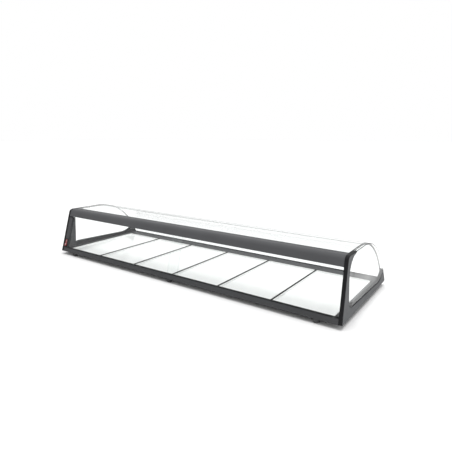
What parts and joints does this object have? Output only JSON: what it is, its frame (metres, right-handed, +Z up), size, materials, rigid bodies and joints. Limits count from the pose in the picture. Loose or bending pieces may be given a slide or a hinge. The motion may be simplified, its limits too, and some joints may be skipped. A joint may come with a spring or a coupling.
{
  "type": "hot food display case",
  "caption": "Long low countertop hot food display case: curved glass over flat trays on a heated base, sliding doors on the service side and a rocker switch.",
  "frame": {"origin": "on the standing surface, in the middle of the case's footprint", "axes": "+X along the case's length, +Y towards the customer side with the curved glass, -Y is the service side with the sliding doors, +Z up"},
  "size_m": [1.135, 0.381, 0.172],
  "materials": {
    "frame_grey": "satin powder coat, mid grey",
    "rail_dark": "satin powder coat, dark grey",
    "trim_black": "fine matt moulded plastic",
    "seal_black": "matt rubber",
    "joint_smoke": "cured grey silicone",
    "foot_rubber": "matt rubber",
    "curved_clear": "clear bent glass",
    "panel_clear": "clear cast acrylic, polished edges",
    "glide_nylon": "natural nylon",
    "switch_red": "glossy red rocker",
    "steel": "zinc plated steel",
    "brass_blade": "plain brass",
    "pan_steel": "folded stainless sheet",
    "plate_aluminium": "mill finish",
    "heater_silicone": "silicone heating mat",
    "insulation_wool": "mineral fibre board",
    "opal": "opal diffuser",
    "tray_white": "white glazed tray"
  },
  "bodies": {
    "case": {"bottom_pan": "pan_steel", "control_housing": "rail_dark", "curved_glass": "curved_clear", "divider_1": "trim_black", "divider_2": "trim_black", "divider_3": "trim_black", "divider_4": "trim_black", "divider_5": "trim_black", "end_frame_left": "frame_grey", "end_frame_right": "frame_grey", "end_gasket_left": "seal_black", "end_gasket_right": "seal_black", "end_panel_left": "panel_clear", "end_panel_right": "panel_clear", "end_trim_left": "trim_black", "end_trim_right": "trim_black", "feet": "foot_rubber", "foot_screws": "steel", "frame_studs": "steel", "front_rail": "rail_dark", "glass_front_seal": "seal_black", "glass_joint_left": "joint_smoke", "glass_joint_right": "joint_smoke", "glass_rear_seal": "seal_black", "heat_plate": "plate_aluminium", "heater_mat_1": "heater_silicone", "heater_mat_2": "heater_silicone", "heater_mat_3": "heater_silicone", "inlet_bush": "seal_black", "insulation": "insulation_wool", "lamp_diffuser": "opal", "lamp_holder_left": "trim_black", "lamp_holder_right": "trim_black", "led_board": "plate_aluminium", "lower_door_track": "trim_black", "overheat_cutoff": "plate_aluminium", "rear_rail": "rail_dark", "side_rail_left": "rail_dark", "side_rail_right": "rail_dark", "switch_frame": "trim_black", "switch_pin": "steel", "switch_terminals": "brass_blade", "terminal_block": "glide_nylon", "thermostat": "trim_black", "top_beam": "rail_dark", "upper_door_track": "trim_black", "wire_harness": "seal_black"},
    "door_left": {"door_left": "panel_clear", "door_glides_left": "glide_nylon"},
    "door_right": {"door_right": "panel_clear", "door_glides_right": "glide_nylon"},
    "rocker": {"switch_rocker": "switch_red"},
    "tray_1": {"tray_1": "tray_white"},
    "tray_2": {"tray_2": "tray_white"},
    "tray_3": {"tray_3": "tray_white"},
    "tray_4": {"tray_4": "tray_white"},
    "tray_5": {"tray_5": "tray_white"},
    "tray_6": {"tray_6": "tray_white"}
  },
  "joints": [
    {"name": "door_left_slide", "type": "slide", "parent": "case", "child": "door_left", "axis": [1, 0, 0], "range_m": [0, 0.52225]},
    {"name": "door_right_slide", "type": "slide", "parent": "case", "child": "door_right", "axis": [-1, 0, 0], "range_m": [0, 0.52225]},
    {"name": "rocker_pivot", "type": "hinge", "parent": "case", "child": "rocker", "pos_m": [-0.54875, -0.17636, 0.0425], "axis": [1, 0, 0], "range_deg": [0, 16]},
    {"name": "tray_1_lift", "type": "slide", "parent": "case", "child": "tray_1", "axis": [0, 0, 1], "range_m": [0, 0.01]},
    {"name": "tray_2_lift", "type": "slide", "parent": "case", "child": "tray_2", "axis": [0, 0, 1], "range_m": [0, 0.01]},
    {"name": "tray_3_lift", "type": "slide", "parent": "case", "child": "tray_3", "axis": [0, 0, 1], "range_m": [0, 0.01]},
    {"name": "tray_4_lift", "type": "slide", "parent": "case", "child": "tray_4", "axis": [0, 0, 1], "range_m": [0, 0.01]},
    {"name": "tray_5_lift", "type": "slide", "parent": "case", "child": "tray_5", "axis": [0, 0, 1], "range_m": [0, 0.01]},
    {"name": "tray_6_lift", "type": "slide", "parent": "case", "child": "tray_6", "axis": [0, 0, 1], "range_m": [0, 0.01]}
  ]
}
